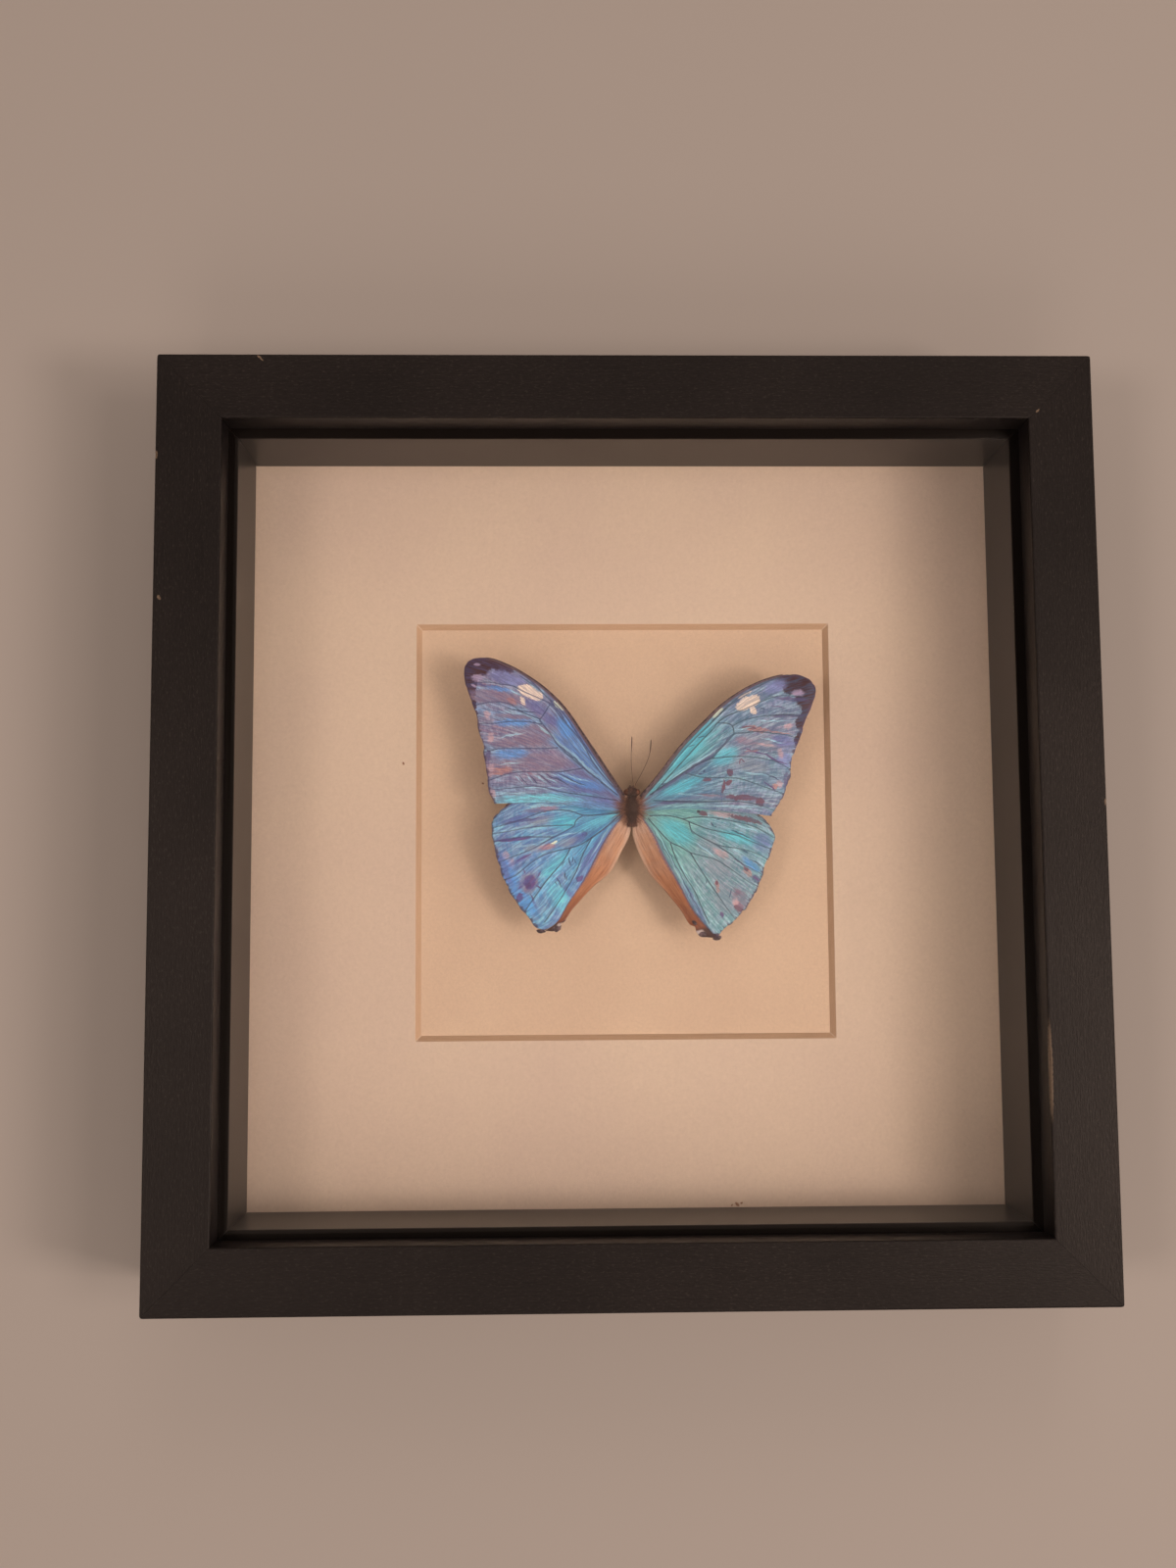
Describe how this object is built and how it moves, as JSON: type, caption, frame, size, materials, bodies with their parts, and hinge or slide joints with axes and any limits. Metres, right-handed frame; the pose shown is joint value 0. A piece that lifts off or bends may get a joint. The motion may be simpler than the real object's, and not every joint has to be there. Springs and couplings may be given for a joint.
{
  "type": "framed butterfly specimen",
  "caption": "Spread blue butterfly in a deep square black box frame, behind glass, on a cream sheet in the bevelled window of a mat board.",
  "frame": {"origin": "centre of the frame's rear face, on the surface that it lies on", "axes": "+Z out through the glass, +Y towards the specimen's head and the frame's top edge, +X to the right as seen from the front"},
  "size_m": [0.25, 0.25, 0.045],
  "materials": {
    "black_rail": "satin black lacquer with a fine lengthwise grain",
    "black_spacer": "smooth, half gloss",
    "clear_glass": "clear, polished",
    "mat_board": "warm white, matt, finely toothed, with a tan bevel",
    "cream_sheet": "cream, matt",
    "hardboard": "brown pressed board",
    "tab_steel": "dull",
    "hanger_steel": "bright zinc",
    "foam_block": "fine white foam",
    "brown_body": "dry brown chitin under short hair",
    "left_wings": "metallic blue and violet scales, brown margin",
    "right_wings": "metallic teal and blue scales, brown margin"
  },
  "bodies": {
    "root": {"frame_rail_top": "black_rail", "frame_rail_left": "black_rail", "frame_rail_bottom": "black_rail", "frame_rail_right": "black_rail", "spacer_top": "black_spacer", "spacer_left": "black_spacer", "spacer_bottom": "black_spacer", "spacer_right": "black_spacer", "retaining_tab_top_left": "tab_steel", "retaining_tab_top_right": "tab_steel", "retaining_tab_left_lower": "tab_steel", "retaining_tab_left_upper": "tab_steel", "retaining_tab_bottom_right": "tab_steel", "retaining_tab_bottom_left": "tab_steel", "retaining_tab_right_upper": "tab_steel", "retaining_tab_right_lower": "tab_steel", "glass_pane": "clear_glass", "mat_board": "mat_board", "backing_sheet": "cream_sheet", "back_panel": "hardboard", "sawtooth_hanger": "hanger_steel", "hanger_nail_left": "hanger_steel", "hanger_nail_right": "hanger_steel", "mounting_block": "foam_block", "thorax_and_head": "brown_body", "antenna_left": "brown_body", "antenna_right": "brown_body", "forewing_left": "left_wings", "hindwing_left": "left_wings", "forewing_right": "right_wings", "hindwing_right": "right_wings"}
  },
  "joints": []
}
